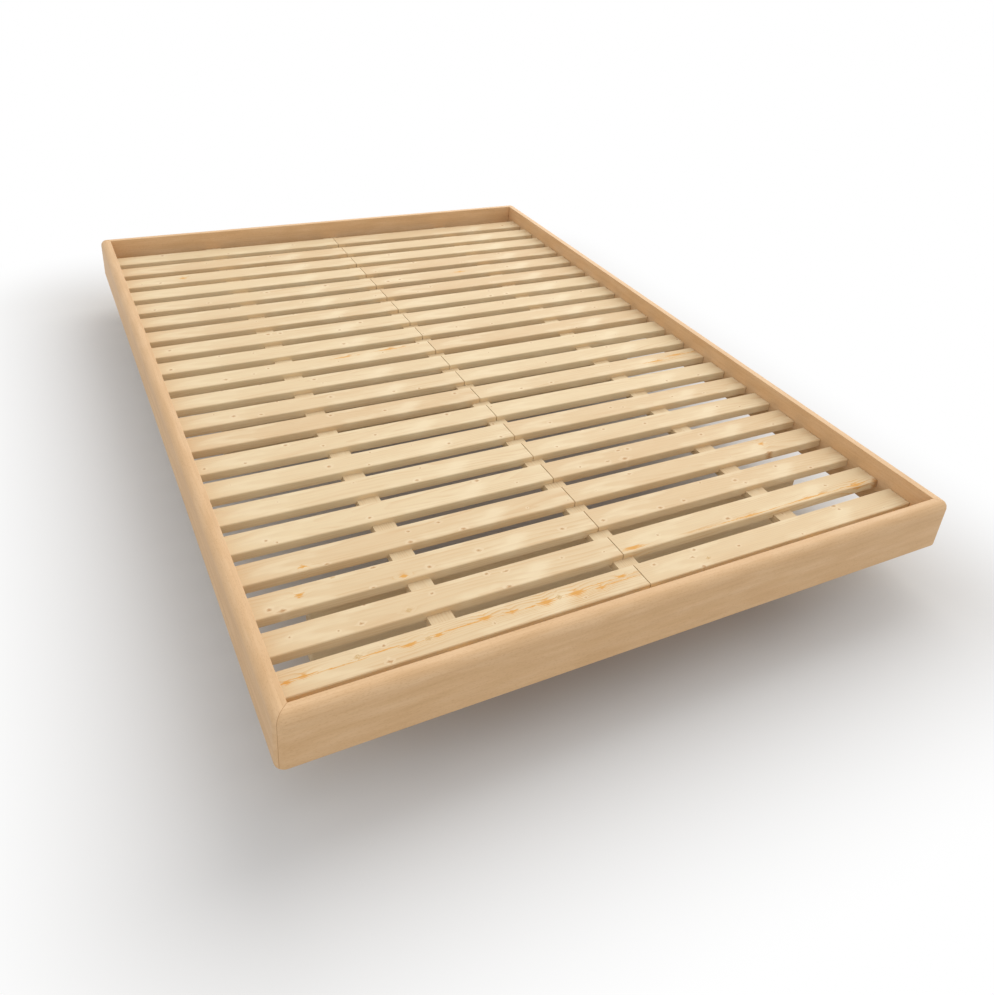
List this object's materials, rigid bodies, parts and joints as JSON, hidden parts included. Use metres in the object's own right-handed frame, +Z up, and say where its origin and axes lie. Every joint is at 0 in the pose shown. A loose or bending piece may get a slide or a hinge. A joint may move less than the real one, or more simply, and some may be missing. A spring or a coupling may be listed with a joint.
{
  "type": "toddler floor bed",
  "caption": "Low wooden floor bed for a toddler: a mitred rim of thick rounded rails round a recessed slatted deck, raised on base boards set well inside so that the rim seems to float.",
  "frame": {"origin": "on the floor under the middle of the bed, on the underside of the middle base board", "axes": "+Z up; +Y along the bed from the foot rail to the head rail; +X across it, to the right of someone who stands at the foot and looks at the head"},
  "size_m": [1.476, 2.066, 0.23],
  "materials": {
    "rail_wood": "sanded beech, clear matt oil",
    "slat_wood": "planed pine with knots, bare",
    "frame_wood": "planed pine, bare",
    "tongue_wood": "birch plywood tongue, sawn",
    "zinc_steel": "bright zinc-plated pressed sheet",
    "bolt_steel": "zinc-plated furniture bolt"
  },
  "bodies": {
    "root": {"base_brackets": "zinc_steel", "bearer_hangers": "zinc_steel", "centre_base_board": "frame_wood", "centre_bearer": "frame_wood", "corner_block_foot_left": "frame_wood", "corner_block_foot_right": "frame_wood", "corner_block_head_left": "frame_wood", "corner_block_head_right": "frame_wood", "corner_bolts": "bolt_steel", "foot_base_board": "frame_wood", "foot_rail": "rail_wood", "head_base_board": "frame_wood", "head_rail": "rail_wood", "left_bearer": "frame_wood", "left_rail": "rail_wood", "mitre_tongues": "tongue_wood", "right_bearer": "frame_wood", "right_rail": "rail_wood", "slat_left_01": "slat_wood", "slat_left_02": "slat_wood", "slat_left_03": "slat_wood", "slat_left_04": "slat_wood", "slat_left_05": "slat_wood", "slat_left_06": "slat_wood", "slat_left_07": "slat_wood", "slat_left_08": "slat_wood", "slat_left_09": "slat_wood", "slat_left_10": "slat_wood", "slat_left_11": "slat_wood", "slat_left_12": "slat_wood", "slat_left_13": "slat_wood", "slat_left_14": "slat_wood", "slat_left_15": "slat_wood", "slat_left_16": "slat_wood", "slat_left_17": "slat_wood", "slat_left_18": "slat_wood", "slat_left_19": "slat_wood", "slat_left_20": "slat_wood", "slat_left_21": "slat_wood", "slat_right_01": "slat_wood", "slat_right_02": "slat_wood", "slat_right_03": "slat_wood", "slat_right_04": "slat_wood", "slat_right_05": "slat_wood", "slat_right_06": "slat_wood", "slat_right_07": "slat_wood", "slat_right_08": "slat_wood", "slat_right_09": "slat_wood", "slat_right_10": "slat_wood", "slat_right_11": "slat_wood", "slat_right_12": "slat_wood", "slat_right_13": "slat_wood", "slat_right_14": "slat_wood", "slat_right_15": "slat_wood", "slat_right_16": "slat_wood", "slat_right_17": "slat_wood", "slat_right_18": "slat_wood", "slat_right_19": "slat_wood", "slat_right_20": "slat_wood", "slat_right_21": "slat_wood"}
  },
  "joints": []
}
